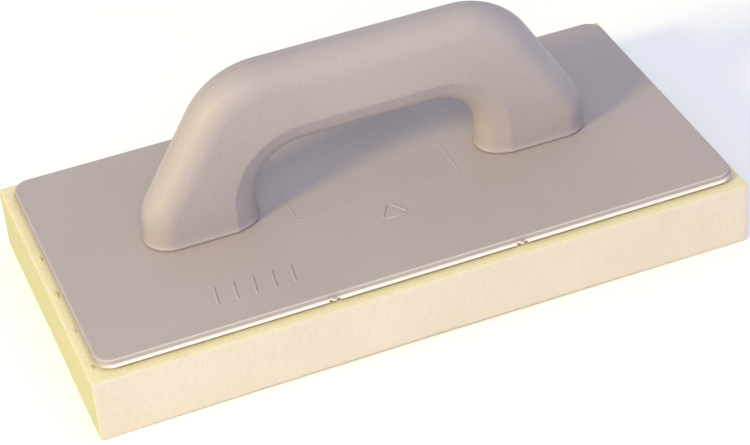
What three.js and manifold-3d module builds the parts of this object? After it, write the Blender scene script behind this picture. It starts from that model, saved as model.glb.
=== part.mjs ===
// Sponge float: a foam pad, a thin moulded backing plate and a hollow two-shell bow handle.
// Millimetres. +X runs along the length, +Y to the back and +Z up; the pad's underside is Z = 0.

import * as THREE from 'three';
import { mergeVertices } from 'three/addons/utils/BufferGeometryUtils.js';
import Module from 'manifold-3d';

const wasm = await Module();
wasm.setup();

const HALF_TURN = Math.PI;
const QUARTER_TURN = Math.PI / 2;

// Gap left between pieces that touch.
const GAP = 0.3;

// Foam pad.
const PAD_LENGTH = 280;
const PAD_WIDTH = 140;
const PAD_HEIGHT = 28.5;
const PAD_CORNER_RADIUS = 1.5;

// Adhesive film between the pad and the plate.
const FILM_THICKNESS = 0.5;
const FILM_INSET = 2;
const FILM_BOTTOM = PAD_HEIGHT + GAP;

// Backing plate: a thin lip at the bottom stands out around a narrower upper body.
const PLATE_LENGTH = 273;
const PLATE_WIDTH = 131;
const PLATE_CORNER_RADIUS = 8;
const PLATE_BOTTOM = FILM_BOTTOM + FILM_THICKNESS + GAP;
const PLATE_TOP = 33;
const PLATE_THICKNESS = PLATE_TOP - PLATE_BOTTOM;
const PLATE_EDGE_BEVEL = 0.4;
const LIP_HEIGHT = 1;
const LIP_REACH = 0.9;

// The plate is bonded slightly off the pad's centre.
const PLATE_OFFSET_X = 0.7;

// Two gate notches in the front lip, each with the stub of the gate left in it.
const NOTCH_X = 40;
const NOTCH_WIDTH = 4.8;
const NOTCH_DEPTH_SHARE = 0.9;
const STUB_WIDTH = 1.6;
const STUB_REACH = 1;
const STUB_HEIGHT = 1.6;

// Raised marks on the plate: a label frame, a triangle and a row of size bars.
const MARK_WIDTH = 0.9;
const MARK_HEIGHT = 0.4;
const MARK_ROOT = 0.3;
const LABEL_LENGTH = 73;
const LABEL_WIDTH = 24.5;
const LABEL_CORNER_RADIUS = 1.2;
const LABEL_CENTRE = new THREE.Vector2(-0.5, -2.75);
const TRIANGLE_RADIUS = 7;
const TRIANGLE_CENTRE = new THREE.Vector2(0.5, -26);
const TRIANGLE_SIDE_SHARE = 0.62;
const BAR_COUNT = 5;
const BAR_PITCH = 8;
const BAR_HEIGHT = 10;
const BAR_LEAN = 1.5;
const BAR_ROW_CENTRE = new THREE.Vector2(-66, -45.5);

// Handle: a bow 22 mm broad, fully rounded on the outside and narrowing towards the finger window.
const HANDLE_RADIUS = 11;
const HANDLE_TOP = 103.5;
const GRIP_UNDERSIDE = 64.9;
const LEG_OUTER_X = 96.6;
const LEG_INNER_X = 48.9;
const LEG_LEAN = THREE.MathUtils.degToRad(31.6);
const CORNER_RADIUS = 36;
const CORNER_CENTRE_X = 42.2;
const BEND_RADIUS = 20;
const WINDOW_CORNER_RADIUS = 21;
const NARROWING_DEPTH = 12;
const FOOT_Z = PLATE_TOP + GAP;
const FOOT_OVERRUN = 6;
const WINDOW_OVERRUN = 45;
const CORE_BREADTH = 0.2;
const SHELL_WALL = 2.6;
const SPLIT_GAP = GAP;

// Screws come up through the plate into bosses inside the shells.
const SCREW_RADIUS = 1.75;
const SCREW_LENGTH = 16;
const SCREW_TIP_LENGTH = 2.5;
const SCREW_HEAD_RADIUS = 3.5;
const SCREW_HEAD_HEIGHT = 1.6;
const SCREW_RECESS_LENGTH = 3.6;
const SCREW_RECESS_WIDTH = 0.9;
const SCREW_RECESS_DEPTH = 0.9;
const COUNTERBORE_DEPTH = SCREW_HEAD_HEIGHT + GAP;
const BOSS_RADIUS = 3.8;
const BOSS_TOP = 53;
const SCREW_OFFSET_Y = 5;
const FRONT_SCREW_X = 61.5;
const BACK_SCREW_X = 84.5;

// Pegs that locate the two shells on each other inside the grip.
const PEG_X = 24;
const PEG_RADIUS = 1.6;
const PEG_REACH = 4.5;
const PEG_POST_RADIUS = 3.4;

// Size of the blocks used to trim and split solids.
const BLOCK = 400;

// ---- solids ----------------------------------------------------------------------------------

function toSolid(geometry) {
  const bare = geometry.index ? geometry.toNonIndexed() : geometry.clone();
  bare.deleteAttribute('normal');
  bare.deleteAttribute('uv');
  const merged = mergeVertices(bare, 1e-4);
  const corners = merged.index.array;
  const triangles = [];
  for (let i = 0; i < corners.length; i += 3) {
    const [a, b, c] = [corners[i], corners[i + 1], corners[i + 2]];
    if (a !== b && b !== c && c !== a) {
      triangles.push(a, b, c);
    }
  }
  const vertProperties = new Float32Array(merged.attributes.position.array);
  const triVerts = new Uint32Array(triangles);
  return new wasm.Manifold(new wasm.Mesh({ numProp: 3, vertProperties, triVerts }));
}

function toGeometry(solid) {
  const mesh = solid.getMesh();
  const geometry = new THREE.BufferGeometry();
  geometry.setAttribute('position', new THREE.BufferAttribute(mesh.vertProperties, 3));
  geometry.setIndex(new THREE.BufferAttribute(mesh.triVerts, 1));
  geometry.computeVertexNormals();
  return geometry;
}

function block(lengthX, lengthY, lengthZ, x, y, z) {
  return toSolid(new THREE.BoxGeometry(lengthX, lengthY, lengthZ).translate(x, y, z));
}

function uprightCylinder(radius, bottom, top, x, y, segments = 24) {
  const geometry = new THREE.CylinderGeometry(radius, radius, top - bottom, segments);
  geometry.rotateX(QUARTER_TURN);
  return toSolid(geometry.translate(x, y, (top + bottom) / 2));
}

function crosswiseCylinder(radius, front, back, x, z, segments = 20) {
  const geometry = new THREE.CylinderGeometry(radius, radius, back - front, segments);
  return toSolid(geometry.translate(x, (front + back) / 2, z));
}

function roundedRectangle(length, width, radius) {
  const x = length / 2 - radius;
  const y = width / 2 - radius;
  const shape = new THREE.Shape();
  shape.absarc(x, y, radius, 0, QUARTER_TURN);
  shape.absarc(-x, y, radius, QUARTER_TURN, HALF_TURN);
  shape.absarc(-x, -y, radius, HALF_TURN, HALF_TURN + QUARTER_TURN);
  shape.absarc(x, -y, radius, HALF_TURN + QUARTER_TURN, 2 * HALF_TURN);
  shape.closePath();
  return shape;
}

function slab(shape, bottom, top) {
  const geometry = new THREE.ExtrudeGeometry(shape, {
    depth: top - bottom,
    bevelEnabled: false,
    curveSegments: 8,
  });
  return toSolid(geometry.translate(0, 0, bottom));
}

function unite(solids) {
  return solids.reduce((whole, solid) => whole.add(solid));
}

// ---- pad, film and plate ---------------------------------------------------------------------

function padSolid() {
  return slab(roundedRectangle(PAD_LENGTH, PAD_WIDTH, PAD_CORNER_RADIUS), 0, PAD_HEIGHT);
}

function filmSolid() {
  const length = PLATE_LENGTH - 2 * FILM_INSET;
  const width = PLATE_WIDTH - 2 * FILM_INSET;
  const shape = roundedRectangle(length, width, PLATE_CORNER_RADIUS - FILM_INSET);
  return slab(shape, FILM_BOTTOM, FILM_BOTTOM + FILM_THICKNESS);
}

function plateUpperBody() {
  const inset = LIP_REACH + PLATE_EDGE_BEVEL;
  const shape = roundedRectangle(
    PLATE_LENGTH - 2 * inset,
    PLATE_WIDTH - 2 * inset,
    PLATE_CORNER_RADIUS - inset,
  );
  const bottom = PLATE_BOTTOM + LIP_HEIGHT / 4;
  const geometry = new THREE.ExtrudeGeometry(shape, {
    depth: PLATE_TOP - bottom - 2 * PLATE_EDGE_BEVEL,
    bevelSize: PLATE_EDGE_BEVEL,
    bevelThickness: PLATE_EDGE_BEVEL,
    bevelSegments: 2,
    curveSegments: 8,
  });
  return toSolid(geometry.translate(0, 0, bottom + PLATE_EDGE_BEVEL));
}

function plateLip() {
  const shape = roundedRectangle(PLATE_LENGTH, PLATE_WIDTH, PLATE_CORNER_RADIUS);
  let lip = slab(shape, PLATE_BOTTOM, PLATE_BOTTOM + LIP_HEIGHT);
  for (const side of [-1, 1]) {
    const x = side * NOTCH_X;
    const edgeY = -PLATE_WIDTH / 2;
    const cutDepth = 2 * LIP_REACH * NOTCH_DEPTH_SHARE;
    lip = lip.subtract(block(NOTCH_WIDTH, cutDepth, 4 * LIP_HEIGHT, x, edgeY, PLATE_BOTTOM));
  }
  return lip;
}

function gateStubs() {
  const rootY = -PLATE_WIDTH / 2 + LIP_REACH;
  const z = PLATE_BOTTOM + LIP_HEIGHT / 4 + STUB_HEIGHT / 2;
  return [-NOTCH_X, NOTCH_X].map((x) => block(STUB_WIDTH, 2 * STUB_REACH, STUB_HEIGHT, x, rootY, z));
}

function raisedLine(start, end) {
  const length = start.distanceTo(end) + MARK_WIDTH;
  const geometry = new THREE.BoxGeometry(length, MARK_WIDTH, MARK_HEIGHT + MARK_ROOT);
  geometry.rotateZ(Math.atan2(end.y - start.y, end.x - start.x));
  const middle = start.clone().add(end).multiplyScalar(0.5);
  return toSolid(geometry.translate(middle.x, middle.y, PLATE_TOP + (MARK_HEIGHT - MARK_ROOT) / 2));
}

function labelFrame() {
  const bottom = PLATE_TOP - MARK_ROOT;
  const top = PLATE_TOP + MARK_HEIGHT;
  const outline = roundedRectangle(LABEL_LENGTH, LABEL_WIDTH, LABEL_CORNER_RADIUS);
  const opening = roundedRectangle(
    LABEL_LENGTH - 2 * MARK_WIDTH,
    LABEL_WIDTH - 2 * MARK_WIDTH,
    LABEL_CORNER_RADIUS / 2,
  );
  const ring = slab(outline, bottom, top).subtract(slab(opening, bottom - 1, top + 1));
  return ring.translate(LABEL_CENTRE.x, LABEL_CENTRE.y, 0);
}

function triangleLines() {
  const corners = [0, 1, 2].map((i) => {
    const angle = QUARTER_TURN + (i * 2 * HALF_TURN) / 3;
    return new THREE.Vector2(Math.cos(angle), Math.sin(angle)).multiplyScalar(TRIANGLE_RADIUS);
  });
  const trim = (1 - TRIANGLE_SIDE_SHARE) / 2;
  return corners.map((corner, i) => {
    const next = corners[(i + 1) % corners.length];
    const start = corner.clone().lerp(next, trim).add(TRIANGLE_CENTRE);
    const end = next.clone().lerp(corner, trim).add(TRIANGLE_CENTRE);
    return raisedLine(start, end);
  });
}

function sizeBarLines() {
  const lines = [];
  for (let i = 0; i < BAR_COUNT; i += 1) {
    const x = BAR_ROW_CENTRE.x + (i - (BAR_COUNT - 1) / 2) * BAR_PITCH;
    const start = new THREE.Vector2(x - BAR_LEAN / 2, BAR_ROW_CENTRE.y - BAR_HEIGHT / 2);
    const end = new THREE.Vector2(x + BAR_LEAN / 2, BAR_ROW_CENTRE.y + BAR_HEIGHT / 2);
    lines.push(raisedLine(start, end));
  }
  return lines;
}

function screwPlaces() {
  return [
    { name: 'handle_screw_1', x: -FRONT_SCREW_X, y: -SCREW_OFFSET_Y },
    { name: 'handle_screw_2', x: FRONT_SCREW_X, y: -SCREW_OFFSET_Y },
    { name: 'handle_screw_3', x: -BACK_SCREW_X, y: SCREW_OFFSET_Y },
    { name: 'handle_screw_4', x: BACK_SCREW_X, y: SCREW_OFFSET_Y },
  ];
}

function screwHoles(holeTop) {
  return screwPlaces().map(({ x, y }) => {
    const clearance = uprightCylinder(SCREW_RADIUS + GAP, PLATE_BOTTOM - 1, holeTop, x, y);
    const headRadius = SCREW_HEAD_RADIUS + GAP;
    const headTop = PLATE_BOTTOM + COUNTERBORE_DEPTH;
    const counterbore = uprightCylinder(headRadius, PLATE_BOTTOM - 1, headTop, x, y);
    return clearance.add(counterbore);
  });
}

function plateSolid() {
  const marks = [labelFrame(), ...triangleLines(), ...sizeBarLines()];
  const body = unite([plateUpperBody(), plateLip(), ...gateStubs(), ...marks]);
  return body.subtract(unite(screwHoles(PLATE_TOP + 1)));
}

// ---- handle ----------------------------------------------------------------------------------

// Outer side view of the bow, drawn HANDLE_RADIUS inside its true outline: rounding it outwards by
// that radius gives the finished outline and the fully rounded outer edge together.
function bowOutline() {
  const inset = HANDLE_RADIUS;
  const cornerZ = HANDLE_TOP - CORNER_RADIUS;
  const bendX = LEG_OUTER_X - BEND_RADIUS;
  const leanReach = CORNER_RADIUS - BEND_RADIUS - (bendX - CORNER_CENTRE_X) * Math.cos(LEG_LEAN);
  const bendZ = cornerZ + leanReach / Math.sin(LEG_LEAN);
  const bottom = FOOT_Z - FOOT_OVERRUN;
  const shape = new THREE.Shape();
  shape.moveTo(-LEG_OUTER_X + inset, bottom);
  shape.lineTo(LEG_OUTER_X - inset, bottom);
  shape.absarc(bendX, bendZ, BEND_RADIUS - inset, 0, LEG_LEAN);
  shape.absarc(CORNER_CENTRE_X, cornerZ, CORNER_RADIUS - inset, LEG_LEAN, QUARTER_TURN);
  shape.absarc(
    -CORNER_CENTRE_X, cornerZ, CORNER_RADIUS - inset, QUARTER_TURN, HALF_TURN - LEG_LEAN,
  );
  shape.absarc(-bendX, bendZ, BEND_RADIUS - inset, HALF_TURN - LEG_LEAN, HALF_TURN);
  shape.closePath();
  return shape;
}

// The finger window's outline, grown all round by the given amount.
function windowOutline(growth) {
  const cornerX = LEG_INNER_X - WINDOW_CORNER_RADIUS;
  const cornerZ = GRIP_UNDERSIDE - WINDOW_CORNER_RADIUS;
  const radius = WINDOW_CORNER_RADIUS + growth;
  const bottom = FOOT_Z - WINDOW_OVERRUN;
  const shape = new THREE.Shape();
  shape.moveTo(-LEG_INNER_X - growth, bottom);
  shape.lineTo(LEG_INNER_X + growth, bottom);
  shape.absarc(cornerX, cornerZ, radius, 0, QUARTER_TURN);
  shape.absarc(-cornerX, cornerZ, radius, QUARTER_TURN, HALF_TURN);
  shape.closePath();
  return shape;
}

// A body lying along Y whose outline changes by edgeSize between its ends and its middle.
function bulgedBody(outline, edgeSize, halfBreadth) {
  const geometry = new THREE.ExtrudeGeometry(outline, {
    depth: CORE_BREADTH,
    bevelSize: edgeSize,
    bevelThickness: halfBreadth - CORE_BREADTH / 2,
    bevelSegments: 7,
    curveSegments: 9,
  });
  geometry.translate(0, 0, -CORE_BREADTH / 2);
  geometry.rotateX(QUARTER_TURN);
  return toSolid(geometry);
}

// The bow's solid shape, drawn in by the given wall thickness on every side.
function bowSolid(wall) {
  const radius = HANDLE_RADIUS - wall;
  const mass = bulgedBody(bowOutline(), radius, radius);
  const window = bulgedBody(windowOutline(NARROWING_DEPTH), wall - NARROWING_DEPTH, radius + GAP);
  return mass.subtract(window);
}

// The half of space in front of (side -1) or behind (side 1) the split plane, above the plate.
function shellRoom(side) {
  const y = (side * (BLOCK + SPLIT_GAP)) / 2;
  return block(BLOCK, BLOCK, BLOCK, 0, y, FOOT_Z + BLOCK / 2);
}

function shellBosses(side) {
  const screws = screwPlaces().filter(({ y }) => Math.sign(y) === side);
  return screws.map(({ x, y }) => uprightCylinder(BOSS_RADIUS, FOOT_Z, BOSS_TOP, x, y));
}

function pegPosts(side) {
  const z = (HANDLE_TOP + GRIP_UNDERSIDE) / 2;
  const inner = (side * SPLIT_GAP) / 2;
  const outer = side * (HANDLE_RADIUS - SHELL_WALL / 2);
  const [front, back] = [Math.min(inner, outer), Math.max(inner, outer)];
  return [-PEG_X, PEG_X].map((x) => crosswiseCylinder(PEG_POST_RADIUS, front, back, x, z));
}

function pegs(radius, reach) {
  const z = (HANDLE_TOP + GRIP_UNDERSIDE) / 2;
  return [-PEG_X, PEG_X].map((x) => crosswiseCylinder(radius, -PEG_REACH, reach, x, z));
}

function shellSolid(side) {
  const half = bowSolid(0).intersect(shellRoom(side));
  const walls = half.subtract(bowSolid(SHELL_WALL));
  const inside = unite([...shellBosses(side), ...pegPosts(side)]).intersect(half);
  const pilotTop = PLATE_BOTTOM + SCREW_LENGTH + 2 * GAP + SCREW_HEAD_HEIGHT;
  return walls.add(inside).subtract(unite(screwHoles(pilotTop)));
}

function frontShellSolid() {
  return shellSolid(-1).add(unite(pegs(PEG_RADIUS, PEG_REACH)));
}

function backShellSolid() {
  return shellSolid(1).subtract(unite(pegs(PEG_RADIUS + GAP, PEG_REACH + GAP)));
}

// ---- screws ----------------------------------------------------------------------------------

function screwSolid() {
  const headTop = SCREW_HEAD_HEIGHT;
  const tip = headTop + SCREW_LENGTH;
  const profile = [
    [0, 0],
    [SCREW_HEAD_RADIUS * 0.8, 0],
    [SCREW_HEAD_RADIUS, SCREW_HEAD_HEIGHT * 0.4],
    [SCREW_HEAD_RADIUS, headTop],
    [SCREW_RADIUS, headTop],
    [SCREW_RADIUS, tip - SCREW_TIP_LENGTH],
    [0, tip],
  ].map(([radius, height]) => new THREE.Vector2(radius, height));
  const geometry = new THREE.LatheGeometry(profile, 20).rotateX(QUARTER_TURN);
  const arms = [0, QUARTER_TURN].map((turn) => {
    const arm = new THREE.BoxGeometry(
      SCREW_RECESS_LENGTH,
      SCREW_RECESS_WIDTH,
      2 * SCREW_RECESS_DEPTH,
    );
    return toSolid(arm.rotateZ(turn));
  });
  return toSolid(geometry).subtract(unite(arms));
}

// ---- assembly --------------------------------------------------------------------------------

const plasticMaterial = () =>
  new THREE.MeshStandardMaterial({ color: 0xb6a9a6, roughness: 0.5, metalness: 0 });
const foamMaterial = () =>
  new THREE.MeshStandardMaterial({ color: 0xeee3ce, roughness: 0.95, metalness: 0 });
const filmMaterial = () =>
  new THREE.MeshStandardMaterial({ color: 0xd9c88c, roughness: 0.4, metalness: 0 });
const screwMaterial = () =>
  new THREE.MeshStandardMaterial({ color: 0xc4c6c8, roughness: 0.35, metalness: 1 });

function part(name, solid, material) {
  const mesh = new THREE.Mesh(toGeometry(solid), material);
  mesh.name = name;
  return mesh;
}

const float = new THREE.Group();
float.add(part('sponge_pad', padSolid(), foamMaterial()));

const body = new THREE.Group();
body.position.x = PLATE_OFFSET_X;
body.add(part('adhesive_film', filmSolid(), filmMaterial()));
body.add(part('backing_plate', plateSolid(), plasticMaterial()));
body.add(part('handle_front_shell', frontShellSolid(), plasticMaterial()));
body.add(part('handle_back_shell', backShellSolid(), plasticMaterial()));
for (const { name, x, y } of screwPlaces()) {
  const screw = part(name, screwSolid(), screwMaterial());
  screw.position.set(x, y, PLATE_BOTTOM);
  body.add(screw);
}
float.add(body);

export default float;
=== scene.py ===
import math

import bmesh
import bpy
from mathutils import Matrix, Vector, noise


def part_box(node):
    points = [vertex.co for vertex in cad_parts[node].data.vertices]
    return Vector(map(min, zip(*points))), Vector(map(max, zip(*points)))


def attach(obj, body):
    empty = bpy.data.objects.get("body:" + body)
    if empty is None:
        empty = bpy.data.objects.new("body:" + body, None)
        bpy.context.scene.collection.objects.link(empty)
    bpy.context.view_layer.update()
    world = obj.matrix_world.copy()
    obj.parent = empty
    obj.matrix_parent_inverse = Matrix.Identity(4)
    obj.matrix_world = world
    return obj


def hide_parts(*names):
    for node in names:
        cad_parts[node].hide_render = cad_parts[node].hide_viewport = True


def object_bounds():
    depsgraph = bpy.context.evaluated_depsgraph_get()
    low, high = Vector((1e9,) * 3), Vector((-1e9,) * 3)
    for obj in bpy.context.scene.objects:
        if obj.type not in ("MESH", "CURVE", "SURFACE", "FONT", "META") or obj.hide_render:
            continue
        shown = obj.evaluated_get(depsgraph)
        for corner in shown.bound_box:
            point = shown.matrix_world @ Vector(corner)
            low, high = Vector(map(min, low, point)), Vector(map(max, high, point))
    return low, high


# A sponge float: a cut foam pad, glued under a moulded plate with a hollow bow handle.
# Metres, in the CAD frame: +X along the length, +Y to the back, +Z up, the floor at Z = 0.

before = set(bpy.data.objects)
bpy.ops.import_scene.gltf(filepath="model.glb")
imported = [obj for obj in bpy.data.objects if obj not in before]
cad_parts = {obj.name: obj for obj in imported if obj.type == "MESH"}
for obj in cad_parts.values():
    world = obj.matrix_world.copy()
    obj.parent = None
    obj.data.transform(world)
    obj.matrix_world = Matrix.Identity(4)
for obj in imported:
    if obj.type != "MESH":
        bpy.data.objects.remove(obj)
cad_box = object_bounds()

MM = 0.001
PAD_LOW, PAD_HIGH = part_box("sponge_pad")
FILM_LOW, FILM_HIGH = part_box("adhesive_film")
PLATE_LOW, PLATE_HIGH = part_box("backing_plate")
SHELL_LOW, SHELL_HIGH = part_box("handle_front_shell")
CENTRE_X = (PLATE_LOW.x + PLATE_HIGH.x) / 2
SMALLEST_RADIUS = 0.2 * MM

# ---- mesh helpers ----------------------------------------------------------------------------


def new_object(name, vertices, faces, smooth_angle=40):
    """A mesh object whose edges sharper than smooth_angle stay sharp."""
    mesh = bpy.data.meshes.new(name)
    mesh.from_pydata([tuple(v) for v in vertices], [], faces)
    tidy_mesh(mesh)
    mesh.polygons.foreach_set("use_smooth", [True] * len(mesh.polygons))
    mesh.set_sharp_from_angle(angle=math.radians(smooth_angle))
    piece = bpy.data.objects.new(name, mesh)
    bpy.context.scene.collection.objects.link(piece)
    return piece


def tidy_mesh(mesh):
    """Joins vertices that coincide and turns every face outwards."""
    edit = bmesh.new()
    edit.from_mesh(mesh)
    bmesh.ops.remove_doubles(edit, verts=edit.verts, dist=2e-6)
    bmesh.ops.recalc_face_normals(edit, faces=edit.faces)
    edit.to_mesh(mesh)
    edit.free()


def ring_faces(ring_count, ring_size, close_rings=False):
    """Quads between successive closed rings of vertices."""
    faces = []
    for ring in range(ring_count if close_rings else ring_count - 1):
        below = ring * ring_size
        above = (ring + 1) % ring_count * ring_size
        for i in range(ring_size):
            j = (i + 1) % ring_size
            faces.append((below + i, below + j, above + j, above + i))
    return faces


def add_closed(vertices, faces, rings):
    """Adds a lofted solid with flat ends."""
    start, size = len(vertices), len(rings[0])
    vertices += [p for ring in rings for p in ring]
    faces += [tuple(start + i for i in face) for face in ring_faces(len(rings), size)]
    faces.append(tuple(start + i for i in range(size)))
    faces.append(tuple(start + (len(rings) - 1) * size + i for i in range(size)))


def rounded_outline(length, width, radius, inset, arc_steps=10, extra_front_x=()):
    """Points of a rounded rectangle moved inwards by inset, anticlockwise from the right."""
    half_x, half_y = length / 2 - inset, width / 2 - inset
    radius = max(radius - inset, SMALLEST_RADIUS)
    corners = [(1, 1), (-1, 1), (-1, -1), (1, -1)]
    points = []
    for index, (side_x, side_y) in enumerate(corners):
        centre = Vector((side_x * (half_x - radius), side_y * (half_y - radius)))
        for step in range(arc_steps + 1):
            angle = math.pi / 2 * (index + step / arc_steps)
            points.append(centre + radius * Vector((math.cos(angle), math.sin(angle))))
        if index == 2:
            points += [Vector((x, -half_y)) for x in extra_front_x]
    return points


# ---- the pad ---------------------------------------------------------------------------------

PAD_EDGE_RADIUS = 0.7 * MM
PAD_GRID = 1.7 * MM
PAD_FACE_WAVE = 0.45 * MM
PAD_GRAIN = 0.05 * MM
PAD_PIT_DEPTH = 0.22 * MM
PAD_EDGE_RAGGED = 0.35
PAD_RAGGED_LENGTH = 2.5 * MM
PAD_WAVE_LENGTHS = (55 * MM, 55 * MM, 22 * MM)
PAD_GRAIN_LENGTHS = (2.2 * MM, 1.2 * MM)
PAD_FINE_SHARE = 0.6
PAD_PIT_SPACING = 5.5 * MM
PAD_PIT_REACH = 0.2
# The underside's waves and grain are shallower, because the pad rests on it.
PAD_UNDERSIDE_SHARE = 0.3
# The front edge of the underside bows up a little towards its middle.
PAD_FRONT_LIFT = 1.1 * MM
PAD_LIFT_REACH = 30 * MM


def graded_steps(low, high):
    """Grid lines from low to high, close together at both ends where the edges are rounded."""
    edge = [0, 0.2 * PAD_EDGE_RADIUS, 0.5 * PAD_EDGE_RADIUS, PAD_EDGE_RADIUS]
    inner_low, inner_high = low + PAD_EDGE_RADIUS, high - PAD_EDGE_RADIUS
    count = max(2, round((inner_high - inner_low) / PAD_GRID))
    middle = [inner_low + (inner_high - inner_low) * i / count for i in range(1, count)]
    return [low + e for e in edge] + middle + [high - e for e in reversed(edge)]


def pad_surface_point(point):
    """Rounds the pad's edges, waves its cut faces and adds the grain and pits of open foam."""
    room = PAD_EDGE_RADIUS * Vector((1, 1, 1))
    low, high = PAD_LOW + room, PAD_HIGH - room
    core = Vector(min(max(point[i], low[i]), high[i]) for i in range(3))
    normal = (point - core).normalized()
    ragged = 1 - PAD_EDGE_RAGGED * abs(noise.noise(point / PAD_RAGGED_LENGTH))
    place = core + normal * PAD_EDGE_RADIUS * ragged
    along, across, up = PAD_WAVE_LENGTHS
    wave = noise.noise(Vector((point.x / along, point.y / across, point.z / up + 7)))
    coarse, fine = (noise.noise(point / length) for length in PAD_GRAIN_LENGTHS)
    grain = coarse + PAD_FINE_SHARE * fine
    cell = noise.voronoi(point / PAD_PIT_SPACING)[0][0]
    pit = max(0.0, 1 - cell / PAD_PIT_REACH)
    depth = PAD_FACE_WAVE * (0.5 + 0.5 * wave) + PAD_GRAIN * (0.7 + grain) + PAD_PIT_DEPTH * pit
    if normal.z < -0.9:
        depth *= PAD_UNDERSIDE_SHARE
    place -= normal * max(depth, 0)
    near_middle = 1 - (place.x / PAD_HIGH.x) ** 2
    near_front = max(0, 1 - (place.y - PAD_LOW.y) / PAD_LIFT_REACH)
    near_floor = max(0, 1 - place.z / (PAD_HIGH.z - PAD_LOW.z)) ** 2
    place.z += PAD_FRONT_LIFT * near_middle * near_front * near_floor
    return place


def pad_piece():
    axes = [graded_steps(PAD_LOW[i], PAD_HIGH[i]) for i in range(3)]
    edit = bmesh.new()
    for axis in range(3):
        u_axis, v_axis = (axis + 1) % 3, (axis + 2) % 3
        for level in (PAD_LOW[axis], PAD_HIGH[axis]):
            rows = []
            for u in axes[u_axis]:
                row = []
                for v in axes[v_axis]:
                    place = Vector((0, 0, 0))
                    place[axis], place[u_axis], place[v_axis] = level, u, v
                    row.append(edit.verts.new(place))
                rows.append(row)
            for a, b in zip(rows, rows[1:]):
                for i in range(len(a) - 1):
                    edit.faces.new((a[i], a[i + 1], b[i + 1], b[i]))
    bmesh.ops.remove_doubles(edit, verts=edit.verts, dist=1e-6)
    bmesh.ops.recalc_face_normals(edit, faces=edit.faces)
    for vertex in edit.verts:
        vertex.co = pad_surface_point(vertex.co.copy())
    mesh = bpy.data.meshes.new("foam_pad")
    edit.to_mesh(mesh)
    edit.free()
    mesh.polygons.foreach_set("use_smooth", [True] * len(mesh.polygons))
    piece = bpy.data.objects.new("foam_pad", mesh)
    bpy.context.scene.collection.objects.link(piece)
    return piece


# ---- adhesive film and its squeezed-out dabs -------------------------------------------------

FILM_RAGGED = 0.5 * MM
FILM_RAGGED_LENGTH = 6 * MM
FILM_STEP = 3 * MM
FILM_EDGE_INSET = 2.2 * MM
# How far the film's middle stands out past its faces, in millimetres.
FILM_BULGE = 0.2
# Distance from the plate's front edge to each dab on the left margin, and the dab's radius, in
# millimetres.
GLUE_DABS = ((6, 1.9), (30, 2.0), (55, 2.4), (80.5, 1.5))
# A dab from its base up: share of its radius, and height above the pad's top in millimetres.
DAB_PROFILE = ((1, -0.7), (1, -0.4), (0.8, -0.16), (0.4, -0.04))
DAB_STEPS = 16
DAB_SHIFT = 0.45
DAB_NARROWING = 0.6
DAB_WOBBLE = 0.4
# Gives each dab an outline of its own, from its place along the edge.
DAB_VARIETY = 900


def film_rings():
    """The film's outline at its underside, its bulging middle and its top."""
    size = PLATE_HIGH - PLATE_LOW
    rings = []
    middle = (FILM_LOW.z + FILM_HIGH.z) / 2
    for inset, z in ((FILM_BULGE, FILM_LOW.z), (0, middle), (FILM_BULGE, FILM_HIGH.z)):
        outline = []
        base = rounded_outline(size.x, size.y, PLATE_CORNER, FILM_EDGE_INSET, arc_steps=12)
        dense = []
        for a, b in zip(base, base[1:] + base[:1]):
            steps = max(1, int((b - a).length / FILM_STEP))
            dense += [a.lerp(b, i / steps) for i in range(steps)]
        for p in dense:
            out = p.normalized()
            shift = FILM_RAGGED * noise.noise(
                Vector((p.x / FILM_RAGGED_LENGTH, p.y / FILM_RAGGED_LENGTH, 3))
            )
            q = p - out * (inset * MM - shift)
            outline.append(Vector((q.x + CENTRE_X, q.y, z)))
        rings.append(outline)
    return rings


def dab_rings(y, radius):
    """A flattened bead of dried glue lying on the pad beside the plate's left edge."""
    rings = []
    centre = Vector((PLATE_LOW.x - DAB_SHIFT * radius, y, PAD_HIGH.z))
    for share, height in DAB_PROFILE:
        ring = []
        for i in range(DAB_STEPS):
            angle = 2 * math.pi * i / DAB_STEPS
            across, along = math.cos(angle), math.sin(angle)
            wobble = 1 + DAB_WOBBLE * noise.noise(Vector((across, along, y * DAB_VARIETY)))
            reach = radius * share * wobble
            offset = Vector((reach * DAB_NARROWING * across, reach * along, height * MM))
            ring.append(centre + offset)
        rings.append(ring)
    return rings


def film_piece():
    vertices, faces = [], []
    add_closed(vertices, faces, film_rings())
    for distance, radius in GLUE_DABS:
        add_closed(vertices, faces, dab_rings(PLATE_LOW.y + distance * MM, radius * MM))
    return new_object("glue_film", vertices, faces)


# ---- the backing plate -----------------------------------------------------------------------

PLATE_CORNER = 8 * MM
PLATE_WIDTH = 131 * MM
PLATE_SIZE = (PLATE_HIGH.x - PLATE_LOW.x, PLATE_WIDTH)
NOTCH_X = 40 * MM
NOTCH_HALF_WIDTH = 2.4 * MM
NOTCH_STEP = 0.12 * MM
NOTCH_FLOOR = 1.1 * MM
# A gate's stub from below up: half width, and height above the plate's underside.
STUB_PROFILE = ((0.55, 0.25), (0.8, 0.35), (0.8, 1.5), (0.6, 1.7))
STUB_INSET = 0.75 * MM
STUB_SHAPE = 0.8
STUB_CORNER = 0.25 * MM
# The plate's edge from its underside up: distance in from the lip's rim, and height above the
# underside, in millimetres.
EDGE_PROFILE = (
    (0.45, 0.00), (0.15, 0.06), (0.02, 0.24), (0.00, 0.50), (0.06, 0.80), (0.22, 0.97),
    (0.50, 1.04), (0.95, 1.06), (1.08, 1.12), (1.12, 1.30), (0.84, 2.75), (0.88, 3.02),
    (1.04, 3.25), (1.32, 3.38), (1.70, 3.40), (3.50, 3.40),
)
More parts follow.
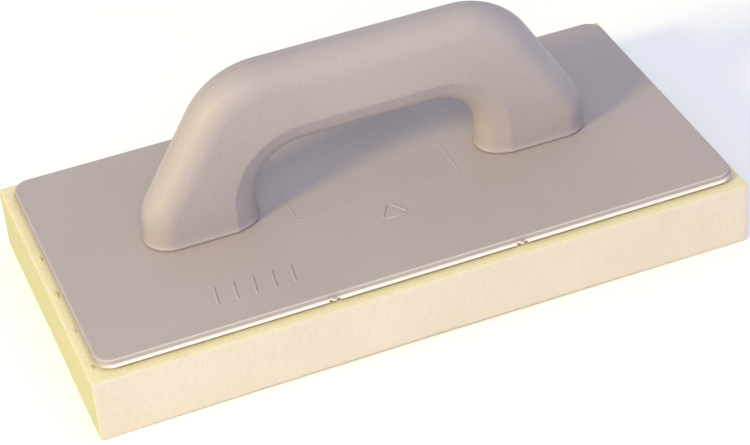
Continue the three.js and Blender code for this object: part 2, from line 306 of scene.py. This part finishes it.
# A raised mark from inside the plate up: half width, and height above the plate's top.
MARK_PROFILE = ((0.55, -0.3), (0.55, 0.0), (0.47, 0.16), (0.34, 0.30), (0.16, 0.37))
MARK_TOP = 0.4
MARK_CREST = 0.05 * MM
FRAME_PROFILE = ((0.40, -0.3), (0.40, 0.0), (0.32, 0.10), (0.16, 0.16))
FRAME_TOP = 0.18
FRAME_INSET = 0.55
FRAME_CORNER = 1.6 * MM
LABEL_SIZE = (73, 24.5)
LABEL_CENTRE = (-0.5, -2.75)
TRIANGLE_CENTRE = (0.5, -26)
TRIANGLE_RADIUS = 7
TRIANGLE_TRIM = 0.19
BAR_ROW_CENTRE = (-66, -45.5)
BAR_COUNT = 5
BAR_PITCH = 8
BAR_HEIGHT = 10
BAR_LEAN = 1.5
TOP_ABOVE_FILM = 3.7 * MM
PLATE_TOP = FILM_HIGH.z + TOP_ABOVE_FILM
# Heights above the plate's underside of the painted highlights on its lip and on its top edge.
LIP_HIGHLIGHT_BAND = (0.3 * MM, 1.1 * MM)
TOP_EDGE_HIGHLIGHT_BAND = (3.05 * MM, 3.33 * MM)


def notch_lines():
    """X places of the extra points that make each notch's two steep sides, left to right."""
    lines = []
    for centre in (-NOTCH_X, NOTCH_X):
        for side in (-1, 1):
            x = centre + side * NOTCH_HALF_WIDTH
            lines += [x - side * NOTCH_STEP, x] if side > 0 else [x, x - side * NOTCH_STEP]
    return lines


def in_notch(x):
    return any(abs(x - centre) < NOTCH_HALF_WIDTH - NOTCH_STEP / 2 for centre in (-NOTCH_X, NOTCH_X))


def plate_ring(inset, z):
    length, width = PLATE_SIZE
    points = rounded_outline(length, width, PLATE_CORNER, inset, 14, notch_lines())
    ring = []
    for p in points:
        y = p.y
        if p.y < 0 and in_notch(p.x):
            y = max(y, -width / 2 + NOTCH_FLOOR)
        ring.append(Vector((p.x + CENTRE_X, y, z)))
    return ring


def capsule_ring(start, end, reach, z):
    """A stadium outline around the line from start to end."""
    along = (end - start).normalized()
    across = Vector((-along.y, along.x))
    ring = []
    steps = 8
    for tip, turn in ((end, -math.pi / 2), (start, math.pi / 2)):
        for step in range(steps + 1):
            angle = turn + math.pi * step / steps
            p = tip + reach * (math.cos(angle) * along + math.sin(angle) * across)
            ring.append(Vector((p.x + CENTRE_X, p.y, z)))
    return ring


def stroke_rings(start, end):
    """A raised stroke's outlines, from inside the plate to its crest."""
    start, end = Vector(start) * MM, Vector(end) * MM
    rings = [capsule_ring(start, end, r * MM, PLATE_TOP + h * MM) for r, h in MARK_PROFILE]
    return rings + [capsule_ring(start, end, MARK_CREST, PLATE_TOP + MARK_TOP * MM)]


def mark_strokes():
    """Start and end of each raised stroke: a triangle of three bars, and a row of size bars."""
    corners = []
    for i in range(3):
        angle = math.pi / 2 + i * 2 * math.pi / 3
        corners.append(TRIANGLE_RADIUS * Vector((math.cos(angle), math.sin(angle))))
    strokes = []
    for a, b in zip(corners, corners[1:] + corners[:1]):
        centre = Vector(TRIANGLE_CENTRE)
        strokes.append((centre + a.lerp(b, TRIANGLE_TRIM), centre + b.lerp(a, TRIANGLE_TRIM)))
    for i in range(BAR_COUNT):
        foot = Vector(BAR_ROW_CENTRE) + Vector(((i - (BAR_COUNT - 1) / 2) * BAR_PITCH, 0))
        half = Vector((BAR_LEAN / 2, BAR_HEIGHT / 2))
        strokes.append((foot - half, foot + half))
    return strokes


def label_frame_rings():
    """The label frame's outlines across its raised line, from the outer foot to the inner one."""
    length, width = LABEL_SIZE[0] * MM, LABEL_SIZE[1] * MM
    profile = [(-r, h) for r, h in FRAME_PROFILE] + [(0, FRAME_TOP)]
    profile += [(r, h) for r, h in reversed(FRAME_PROFILE)]
    rings = []
    for offset, height in profile:
        inset = (FRAME_INSET + offset) * MM
        outline = rounded_outline(length, width, FRAME_CORNER, inset, arc_steps=5)
        rings.append([
            Vector((p.x + CENTRE_X + LABEL_CENTRE[0] * MM, p.y + LABEL_CENTRE[1] * MM,
                    PLATE_TOP + height * MM))
            for p in outline
        ])
    return rings


def stub_rings(x):
    """What is left of a moulding gate, standing in its notch."""
    rings = []
    y = PLATE_LOW.y + STUB_INSET
    for reach, height in STUB_PROFILE:
        size = 2 * reach * MM
        z = PLATE_LOW.z + height * MM
        outline = rounded_outline(size, size * STUB_SHAPE, STUB_CORNER, 0, arc_steps=3)
        rings.append([Vector((p.x + x + CENTRE_X, p.y + y, z)) for p in outline])
    return rings


def plate_piece():
    vertices, faces = [], []
    add_closed(vertices, faces, [plate_ring(i * MM, PLATE_LOW.z + h * MM) for i, h in EDGE_PROFILE])
    plate = new_object("moulded_plate", vertices, faces)
    vertices, faces = [], []
    for start, end in mark_strokes():
        add_closed(vertices, faces, stroke_rings(start, end))
    for x in (-NOTCH_X, NOTCH_X):
        add_closed(vertices, faces, stub_rings(x))
    rings = label_frame_rings()
    start, size = len(vertices), len(rings[0])
    vertices += [p for ring in rings for p in ring]
    faces += [tuple(start + i for i in f) for f in ring_faces(len(rings), size, close_rings=True)]
    marks = new_object("plate_marks", vertices, faces)
    join = plate.modifiers.new("marks", "BOOLEAN")
    join.operation = "UNION"
    join.solver = "EXACT"
    join.object = marks
    graph = bpy.context.evaluated_depsgraph_get()
    joined = bpy.data.meshes.new_from_object(plate.evaluated_get(graph))
    plate.modifiers.clear()
    plate.data = joined
    bpy.data.objects.remove(marks)
    joined.polygons.foreach_set("use_smooth", [True] * len(joined.polygons))
    joined.set_sharp_from_angle(angle=math.radians(35))
    return plate


# ---- the handle ------------------------------------------------------------------------------

# The bow in side view, in millimetres.
HANDLE_TOP = SHELL_HIGH.z / MM
FOOT_Z = SHELL_LOW.z / MM
LEG_OUTER_X = (SHELL_HIGH.x - SHELL_LOW.x) / 2 / MM
OUTER_RADIUS = -SHELL_LOW.y / MM
LEG_INNER_X = 48.9
GRIP_UNDERSIDE = 64.4
LEG_LEAN = math.radians(31.6)
CORNER_RADIUS = 36
CORNER_CENTRE_X = 42.2
BEND_RADIUS = 20
WINDOW_CORNER = 20.5
# The section's finger side: a crisp shoulder, a short taper and a wide round.
SHOULDER_RADIUS = 3
TAPER_ANGLE = math.radians(20)
SIDE_DEPTH = 12
# The flat's columns begin this share of the window side's depth before the shoulder.
FLAT_LEAD = 0.12
SHELL_WALL = 2.6
SEAM_GAP = 0.12
SEAM_DEPTH = 0.14
SECTION_STEPS = 14
FLAT_STEPS = 2
SHOULDER_STEPS = 5
TAPER_STEPS = 4


def arc(centre, radius, start, end, steps):
    """Points and outward normals along an arc, without its last point."""
    result = []
    for i in range(steps):
        angle = start + (end - start) * i / steps
        normal = Vector((math.cos(angle), math.sin(angle)))
        result.append((Vector(centre) + radius * normal, normal))
    return result


def line(start, end, normal, steps):
    """Points and their one normal along a straight stretch, without its last point."""
    start, end = Vector(start), Vector(end)
    return [(start.lerp(end, i / steps), Vector(normal)) for i in range(steps)]


# The rim round each foot: height above the plate, and how far it stands out.
FOOT_RIM = (
    (0, 0.15), (0.15, 0.45), (0.4, 0.62), (0.9, 0.60), (1.3, 0.28), (1.8, 0.12), (3.5, 0),
)


def foot_levels(x, top, normal, steps):
    """Stations up a leg, close together at the foot where its rim is."""
    low = [(Vector((x, FOOT_Z + level)), Vector(normal)) for level, _ in FOOT_RIM]
    return low[:-1] + line((x, FOOT_Z + FOOT_RIM[-1][0]), (x, top), normal, steps)


def outer_stations():
    """The right half of the bow's outer outline, from the foot to the middle of the top."""
    corner_z = HANDLE_TOP - CORNER_RADIUS
    bend_x = LEG_OUTER_X - BEND_RADIUS
    reach = CORNER_RADIUS - BEND_RADIUS - (bend_x - CORNER_CENTRE_X) * math.cos(LEG_LEAN)
    bend_z = corner_z + reach / math.sin(LEG_LEAN)
    lean = Vector((math.cos(LEG_LEAN), math.sin(LEG_LEAN)))
    bend, corner = Vector((bend_x, bend_z)), Vector((CORNER_CENTRE_X, corner_z))
    stations = foot_levels(LEG_OUTER_X, bend_z, (1, 0), 3)
    stations += arc(bend, BEND_RADIUS, 0, LEG_LEAN, 7)
    stations += line(bend + BEND_RADIUS * lean, corner + CORNER_RADIUS * lean, lean, 8)
    stations += arc(corner, CORNER_RADIUS, LEG_LEAN, math.pi / 2, 14)
    stations += line((CORNER_CENTRE_X, HANDLE_TOP), (0, HANDLE_TOP), (0, 1), 8)
    return stations + [(Vector((0, HANDLE_TOP)), Vector((0, 1)))]


def window_stations():
    """The right half of the finger gap's outline, matched to outer_stations."""
    centre = Vector((LEG_INNER_X - WINDOW_CORNER, GRIP_UNDERSIDE - WINDOW_CORNER))
    stations = foot_levels(LEG_INNER_X, centre.y, (-1, 0), 10)
    for point, outward in arc(centre, WINDOW_CORNER, 0, math.pi / 2, 22):
        stations.append((point, -outward))
    stations += line((centre.x, GRIP_UNDERSIDE), (0, GRIP_UNDERSIDE), (0, -1), 8)
    return stations + [(Vector((0, GRIP_UNDERSIDE)), Vector((0, -1)))]


def mirrored(stations):
    """The whole bow's stations, from the left foot over the top to the right foot."""
    left = [(Vector((-p.x, p.y)), Vector((-n.x, n.y))) for p, n in stations]
    return left[:-1] + stations[::-1]


def outer_section(shrink):
    """The fully rounded outer side, from its spine to the flat: depth in from the outer outline,
    distance from the split plane, and the outward normal as (depth, across)."""
    entries = []
    reach = OUTER_RADIUS - shrink
    for i in range(SECTION_STEPS + 1):
        angle = math.pi / 2 * i / SECTION_STEPS
        sine, cosine = math.sin(angle), math.cos(angle)
        entries.append((OUTER_RADIUS - reach * cosine, reach * sine, -cosine, sine))
    return entries


def window_section(shrink):
    """The window side from the flat to its spine, as in outer_section."""
    sine, cosine = math.sin(TAPER_ANGLE), math.cos(TAPER_ANGLE)
    drop, inward = SHOULDER_RADIUS * sine, SHOULDER_RADIUS * (1 - cosine)
    # The radius of the round that the taper meets smoothly at the spine.
    tip = (OUTER_RADIUS - inward - (SIDE_DEPTH - drop) * sine / cosine) / (
        cosine - (1 - sine) * sine / cosine
    )
    entries = []
    for i in range(FLAT_STEPS + 1):
        depth = SIDE_DEPTH * (1 + FLAT_LEAD * (1 - i / FLAT_STEPS))
        entries.append((depth, OUTER_RADIUS - shrink, 0, 1))
    reach = SHOULDER_RADIUS - shrink
    for i in range(1, SHOULDER_STEPS + 1):
        angle = TAPER_ANGLE * i / SHOULDER_STEPS
        depth = SIDE_DEPTH - reach * math.sin(angle)
        across = OUTER_RADIUS - SHOULDER_RADIUS + reach * math.cos(angle)
        entries.append((depth, across, -math.sin(angle), math.cos(angle)))
    start_depth, start_across = entries[-1][:2]
    reach = tip - shrink
    end_depth, end_across = tip - reach * sine, reach * cosine
    for i in range(1, TAPER_STEPS):
        share = i / TAPER_STEPS
        depth = start_depth + (end_depth - start_depth) * share
        across = start_across + (end_across - start_across) * share
        entries.append((depth, across, -sine, cosine))
    for i in range(SECTION_STEPS + 1):
        angle = TAPER_ANGLE + (math.pi / 2 - TAPER_ANGLE) * i / SECTION_STEPS
        depth, across = tip - reach * math.sin(angle), reach * math.cos(angle)
        entries.append((depth, across, -math.sin(angle), math.cos(angle)))
    return entries


def foot_rim(z):
    """How far the foot's rim stands out at a height, in millimetres."""
    level = z - FOOT_Z
    for (a, low), (b, high) in zip(FOOT_RIM, FOOT_RIM[1:]):
        if level <= b:
            return low + (high - low) * (level - a) / (b - a)
    return 0


def skin(side, shrink):
    """Vertices of one skin of a half shell, station by station, split-plane edge first."""
    rows = []
    outer_side, window_side = outer_section(shrink), window_section(shrink)
    for outer, window in zip(mirrored(outer_stations()), mirrored(window_stations())):
        columns = [(outer, entry) for entry in outer_side]
        columns += [(window, entry) for entry in window_side]
        row = []
        for index, ((point, normal), entry) in enumerate(columns):
            depth, across, normal_depth, normal_across = entry
            if shrink == 0:
                rim = foot_rim(point.y)
                depth += rim * normal_depth
                across += rim * normal_across
            if index in (0, len(columns) - 1):
                across = SEAM_GAP / 2
                depth += SEAM_DEPTH
            place = point - normal * depth
            row.append(Vector((place.x * MM + CENTRE_X, side * across * MM, place.y * MM)))
        rows.append(row)
    return rows


def shell_piece(name, side):
    outer_rows, inner_rows = skin(side, 0), skin(side, SHELL_WALL)
    stations, columns = len(outer_rows), len(outer_rows[0])
    vertices = [p for row in outer_rows for p in row] + [p for row in inner_rows for p in row]
    inner_start = stations * columns
    faces = []
    for s in range(stations - 1):
        for c in range(columns - 1):
            a = s * columns + c
            b = a + columns
            faces.append((a, a + 1, b + 1, b))
            faces.append(tuple(inner_start + i for i in (b, b + 1, a + 1, a)))
        for c in (0, columns - 1):
            a = s * columns + c
            b = a + columns
            faces.append((a, b, inner_start + b, inner_start + a))
    for s in (0, stations - 1):
        for c in range(columns - 1):
            a = s * columns + c
            faces.append((a, inner_start + a, inner_start + a + 1, a + 1))
    return new_object(name, vertices, faces, smooth_angle=50)


# ---- materials -------------------------------------------------------------------------------


def srgb(red, green, blue):
    """A linear colour from 0 to 255 display values."""

    def linear(value):
        value /= 255
        return value / 12.92 if value <= 0.04045 else ((value + 0.055) / 1.055) ** 2.4

    return (linear(red), linear(green), linear(blue), 1)


class Shader:
    """A principled material with helpers that add nodes fed by object coordinates."""

    def __init__(self, name, roughness, specular=0.5):
        self.material = bpy.data.materials.new(name)
        self.material.use_nodes = True
        self.tree = self.material.node_tree
        self.shader = self.tree.nodes["Principled BSDF"]
        self.shader.inputs["Roughness"].default_value = roughness
        self.shader.inputs["Specular IOR Level"].default_value = specular
        self.place = self.tree.nodes.new("ShaderNodeTexCoord").outputs["Object"]
        self.geometry = self.tree.nodes.new("ShaderNodeNewGeometry")

    def link(self, output, target):
        self.tree.links.new(output, target)

    def axis(self, vector, name):
        """One coordinate of a vector."""
        node = self.tree.nodes.new("ShaderNodeSeparateXYZ")
        self.link(vector, node.inputs["Vector"])
        return node.outputs[name]

    def distance(self, value, middle):
        """How far a value is from middle, either way."""
        offset = self.tree.nodes.new("ShaderNodeMath")
        offset.operation = "SUBTRACT"
        offset.inputs[1].default_value = middle
        self.link(value, offset.inputs[0])
        size = self.tree.nodes.new("ShaderNodeMath")
        size.operation = "ABSOLUTE"
        self.link(offset.outputs[0], size.inputs[0])
        return size.outputs[0]

    def facing(self, name):
        """How far the surface faces along an axis, from -1 to 1."""
        return self.axis(self.geometry.outputs["True Normal"], name)

    def noise(self, size, detail=2, roughness=0.5):
        """Noise whose features are about size metres across."""
        node = self.tree.nodes.new("ShaderNodeTexNoise")
        node.inputs["Scale"].default_value = 1 / size
        node.inputs["Detail"].default_value = detail
        node.inputs["Roughness"].default_value = roughness
        self.link(self.place, node.inputs["Vector"])
        return node.outputs["Fac"]

    def cells(self, size):
        """Distance to the nearest of scattered cell centres about size metres apart."""
        node = self.tree.nodes.new("ShaderNodeTexVoronoi")
        node.inputs["Scale"].default_value = 1 / size
        self.link(self.place, node.inputs["Vector"])
        return node.outputs["Distance"]

    def spread(self, value, low, high, to_low=0.0, to_high=1.0):
        """Stretches the range from low to high over the range from to_low to to_high."""
        node = self.tree.nodes.new("ShaderNodeMapRange")
        node.inputs["From Min"].default_value = low
        node.inputs["From Max"].default_value = high
        node.inputs["To Min"].default_value = to_low
        node.inputs["To Max"].default_value = to_high
        self.link(value, node.inputs["Value"])
        return node.outputs["Result"]

    def mix(self, factor, first, second):
        """Blends two colours, each a value or another node's output."""
        node = self.tree.nodes.new("ShaderNodeMix")
        node.data_type = "RGBA"
        for socket, value in (("A", first), ("B", second)):
            target = [s for s in node.inputs if s.name == socket and s.type == "RGBA"][0]
            if isinstance(value, tuple):
                target.default_value = value
            else:
                self.link(value, target)
        factor_socket = [s for s in node.inputs if s.name == "Factor" and s.type == "VALUE"][0]
        self.link(factor, factor_socket)
        return [s for s in node.outputs if s.type == "RGBA"][0]

    def height(self, parts):
        """Adds bump layers, each a value with its depth in metres."""
        normal = None
        for value, depth in parts:
            bump = self.tree.nodes.new("ShaderNodeBump")
            bump.inputs["Strength"].default_value = 1
            bump.inputs["Distance"].default_value = depth
            self.link(value, bump.inputs["Height"])
            if normal is not None:
                self.link(normal, bump.inputs["Normal"])
            normal = bump.outputs["Normal"]
        self.link(normal, self.shader.inputs["Normal"])

    def colour(self, value):
        self.link(value, self.shader.inputs["Base Color"])

    def roughness(self, value):
        self.link(value, self.shader.inputs["Roughness"])


def foam_material():
    foam = Shader("cut_foam", 0.9, specular=0.15)
    cloud = foam.noise(35 * MM, detail=3)
    mottle = foam.noise(3.5 * MM, detail=3, roughness=0.65)
    pore_relief_and_shade = foam.cells(1.1 * MM)
    base = foam.mix(foam.spread(cloud, 0.3, 0.7), srgb(212, 203, 192), srgb(208, 198, 185))
    top = foam.spread(foam.facing("Z"), 0.6, 0.9)
    base = foam.mix(top, base, srgb(222, 213, 181))
    # Painted shade: the end face towards the warm left lamp is painted darker and yellower to tone
    # down the lamp there.
    end = foam.spread(foam.facing("X"), -0.6, -0.9)
    base = foam.mix(end, base, srgb(187, 184, 152))
    base = foam.mix(foam.spread(mottle, 0.5, 0.85, 0, 0.2), base, srgb(208, 196, 158))
    # Painted shade: the foam's open pores are darkened in colour; the same cells also give the pore
    # bump below.
    base = foam.mix(foam.spread(pore_relief_and_shade, 0.4, 0.1, 0, 0.16), base, srgb(196, 182, 145))
    foam.colour(base)
    foam.height(((mottle, 0.10 * MM), (pore_relief_and_shade, 0.10 * MM)))
    return foam.material


def glue_material():
    glue = Shader("dried_glue", 0.4)
    cloud = glue.noise(2 * MM, detail=2)
    glue.colour(glue.mix(cloud, srgb(216, 208, 164), srgb(207, 198, 150)))
    glue.height(((cloud, 0.15 * MM),))
    return glue.material


EDGE_HIGHLIGHT_FADE = 0.06 * MM
# The painted edge highlights fade out between these distances from the plate's two ends.
EDGE_HIGHLIGHT_ENDS = (1 * MM, 7 * MM)
EDGE_HIGHLIGHT_STRENGTH = 0.92


class Plastic(Shader):
    """Moulded plastic with a fine spark-eroded grain and soft changes of tone and sheen."""

    def __init__(self, name, light, dark, grain_depth, roughness):
        super().__init__(name, roughness, specular=0.4)
        cloud = self.noise(60 * MM, detail=3)
        glint_speck = self.noise(0.9 * MM, detail=3, roughness=0.7)
        grain = self.noise(0.8 * MM, detail=2, roughness=0.6)
        tone = self.mix(self.spread(cloud, 0.35, 0.65), light, dark)
        # Painted glints: pale specks over the grain stand in for its sparkle.
        self.tone = self.mix(self.spread(glint_speck, 0.6, 0.8, 0, 0.3), tone, srgb(205, 196, 195))
        self.colour(self.tone)
        self.roughness(self.spread(cloud, 0.3, 0.7, roughness - 0.06, roughness + 0.06))
        self.height(((grain, grain_depth),))

    def paint_edge_highlight(self, heights, colour):
        """Paints a highlight on the plate's long edges between two heights above its underside."""
        bottom, top = (PLATE_LOW.z + height for height in heights)
        middle, half = (bottom + top) / 2, (top - bottom) / 2
        away = self.distance(self.axis(self.place, "Z"), middle)
        band = self.spread(away, half + EDGE_HIGHLIGHT_FADE, half)
        half_length = PLATE_SIZE[0] / 2
        fade_start, fade_end = (half_length - inset for inset in EDGE_HIGHLIGHT_ENDS)
        along = self.distance(self.axis(self.place, "X"), CENTRE_X)
        inside = self.spread(along, fade_start, fade_end, 0, EDGE_HIGHLIGHT_STRENGTH)
        both = self.tree.nodes.new("ShaderNodeMath")
        both.operation = "MULTIPLY"
        self.link(band, both.inputs[0])
        self.link(inside, both.inputs[1])
        self.tone = self.mix(both.outputs[0], self.tone, colour)
        self.colour(self.tone)


def steel_material():
    steel = Shader("zinc_plated_steel", 0.32)
    steel.shader.inputs["Metallic"].default_value = 1
    cloud = steel.noise(1.5 * MM, detail=2)
    steel.colour(steel.mix(cloud, srgb(205, 208, 212), srgb(178, 182, 186)))
    steel.height(((steel.noise(0.3 * MM), 0.01 * MM),))
    return steel.material


# ---- dressing the frame ----------------------------------------------------------------------


def dress(piece, material, slot, *nodes):
    """Gives a piece its material, hangs it under the root body and hides the CAD nodes it stands
    for.
    """
    piece.data.materials.clear()
    piece.data.materials.append(material)
    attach(piece, "root")
    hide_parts(*nodes)


handle_plastic = Plastic(
    "handle_plastic", srgb(169, 160, 164), srgb(164, 155, 159), 0.22 * MM, 0.42
)
plate_plastic = Plastic(
    "plate_plastic", srgb(172, 162, 163), srgb(167, 157, 158), 0.04 * MM, 0.45
)
# Painted highlights: a bright one along the plate's lip and a fainter one along its top edge.
plate_plastic.paint_edge_highlight(LIP_HIGHLIGHT_BAND, srgb(236, 231, 233))
plate_plastic.paint_edge_highlight(TOP_EDGE_HIGHLIGHT_BAND, srgb(194, 186, 189))

pad = pad_piece()
dress(pad, foam_material(), "sponge_foam", "sponge_pad")
dress(film_piece(), glue_material(), "adhesive", "adhesive_film")
dress(plate_piece(), plate_plastic.material, "plate_plastic", "backing_plate")
for name, side, node in (
    ("front_half_shell", -1, "handle_front_shell"),
    ("back_half_shell", 1, "handle_back_shell"),
):
    dress(shell_piece(name, side), handle_plastic.material, "handle_plastic", node)

zinc = steel_material()
for name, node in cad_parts.items():
    if name.startswith("handle_screw"):
        node.data.materials.clear()
        node.data.materials.append(zinc)

# ---- floor, lights and camera ----------------------------------------------------------------


def floor_material():
    floor = Shader("studio_floor", 0.8, specular=0.1)
    cloud = floor.noise(0.4, detail=2)
    floor.colour(floor.mix(cloud, (0.97, 0.97, 0.98, 1), (0.95, 0.95, 0.96, 1)))
    return floor.material


def make_floor(half_size=6.0):
    corners = [(-half_size, -half_size, 0), (half_size, -half_size, 0),
               (half_size, half_size, 0), (-half_size, half_size, 0)]
    mesh = bpy.data.meshes.new("floor")
    mesh.from_pydata(corners, [], [(0, 1, 2, 3)])
    mesh.materials.append(floor_material())
    floor = bpy.data.objects.new("floor", mesh)
    bpy.context.scene.collection.objects.link(floor)


def aimed(location, target, roll=0.0):
    """A matrix at location whose -Z axis points at target."""
    turn = (target - location).to_track_quat("-Z", "Y").to_matrix().to_4x4()
    return Matrix.Translation(location) @ turn @ Matrix.Rotation(roll, 4, "Z")


def from_angles(azimuth, elevation):
    """Unit vector towards a viewpoint: azimuth 0 is the front, elevation is above the floor."""
    a, e = math.radians(azimuth), math.radians(elevation)
    return Vector((math.sin(a) * math.cos(e), -math.cos(a) * math.cos(e), math.sin(e)))


def soft_light(name, azimuth, elevation, distance, size, power, colour):
    data = bpy.data.lights.new(name, "AREA")
    data.shape = "DISK"
    data.size = size
    data.energy = power
    data.color = colour
    light = bpy.data.objects.new(name, data)
    target = (cad_box[0] + cad_box[1]) / 2
    light.matrix_world = aimed(target + distance * from_angles(azimuth, elevation), target)
    bpy.context.scene.collection.objects.link(light)


# Angles in degrees, the distance in metres and the lens in millimetres.
CAMERA_AZIMUTH = -18.95
CAMERA_ELEVATION = 37.11
CAMERA_ROLL = -4.80
CAMERA_DISTANCE = 0.9328
CAMERA_LENS = 112.67
CAMERA_AIM = Vector((-11.14, -38.44, 40.0)) * MM


def make_camera():
    data = bpy.data.cameras.new("camera")
    data.lens = CAMERA_LENS
    data.sensor_width = 36
    camera = bpy.data.objects.new("camera", data)
    location = CAMERA_AIM + CAMERA_DISTANCE * from_angles(CAMERA_AZIMUTH, CAMERA_ELEVATION)
    camera.matrix_world = aimed(location, CAMERA_AIM, math.radians(CAMERA_ROLL))
    bpy.context.scene.collection.objects.link(camera)
    bpy.context.scene.camera = camera


ROOM_COLOUR = (0.91, 0.945, 1.06, 1)
ROOM_STRENGTH = 0.72


def make_world():
    world = bpy.data.worlds.new("soft_room")
    world.use_nodes = True
    background = world.node_tree.nodes["Background"]
    background.inputs["Color"].default_value = ROOM_COLOUR
    background.inputs["Strength"].default_value = ROOM_STRENGTH
    bpy.context.scene.world = world


make_floor()
make_world()
soft_light(
    "front_softbox", azimuth=-18, elevation=43, distance=1.7, size=0.9, power=8.9,
    colour=(1.0, 0.965, 1.03),
)
soft_light(
    "warm_left_lamp", azimuth=-68, elevation=26, distance=3.0, size=0.56, power=68,
    colour=(1.0, 0.84, 0.31),
)
make_camera()
bpy.context.scene.view_settings.view_transform = "Standard"
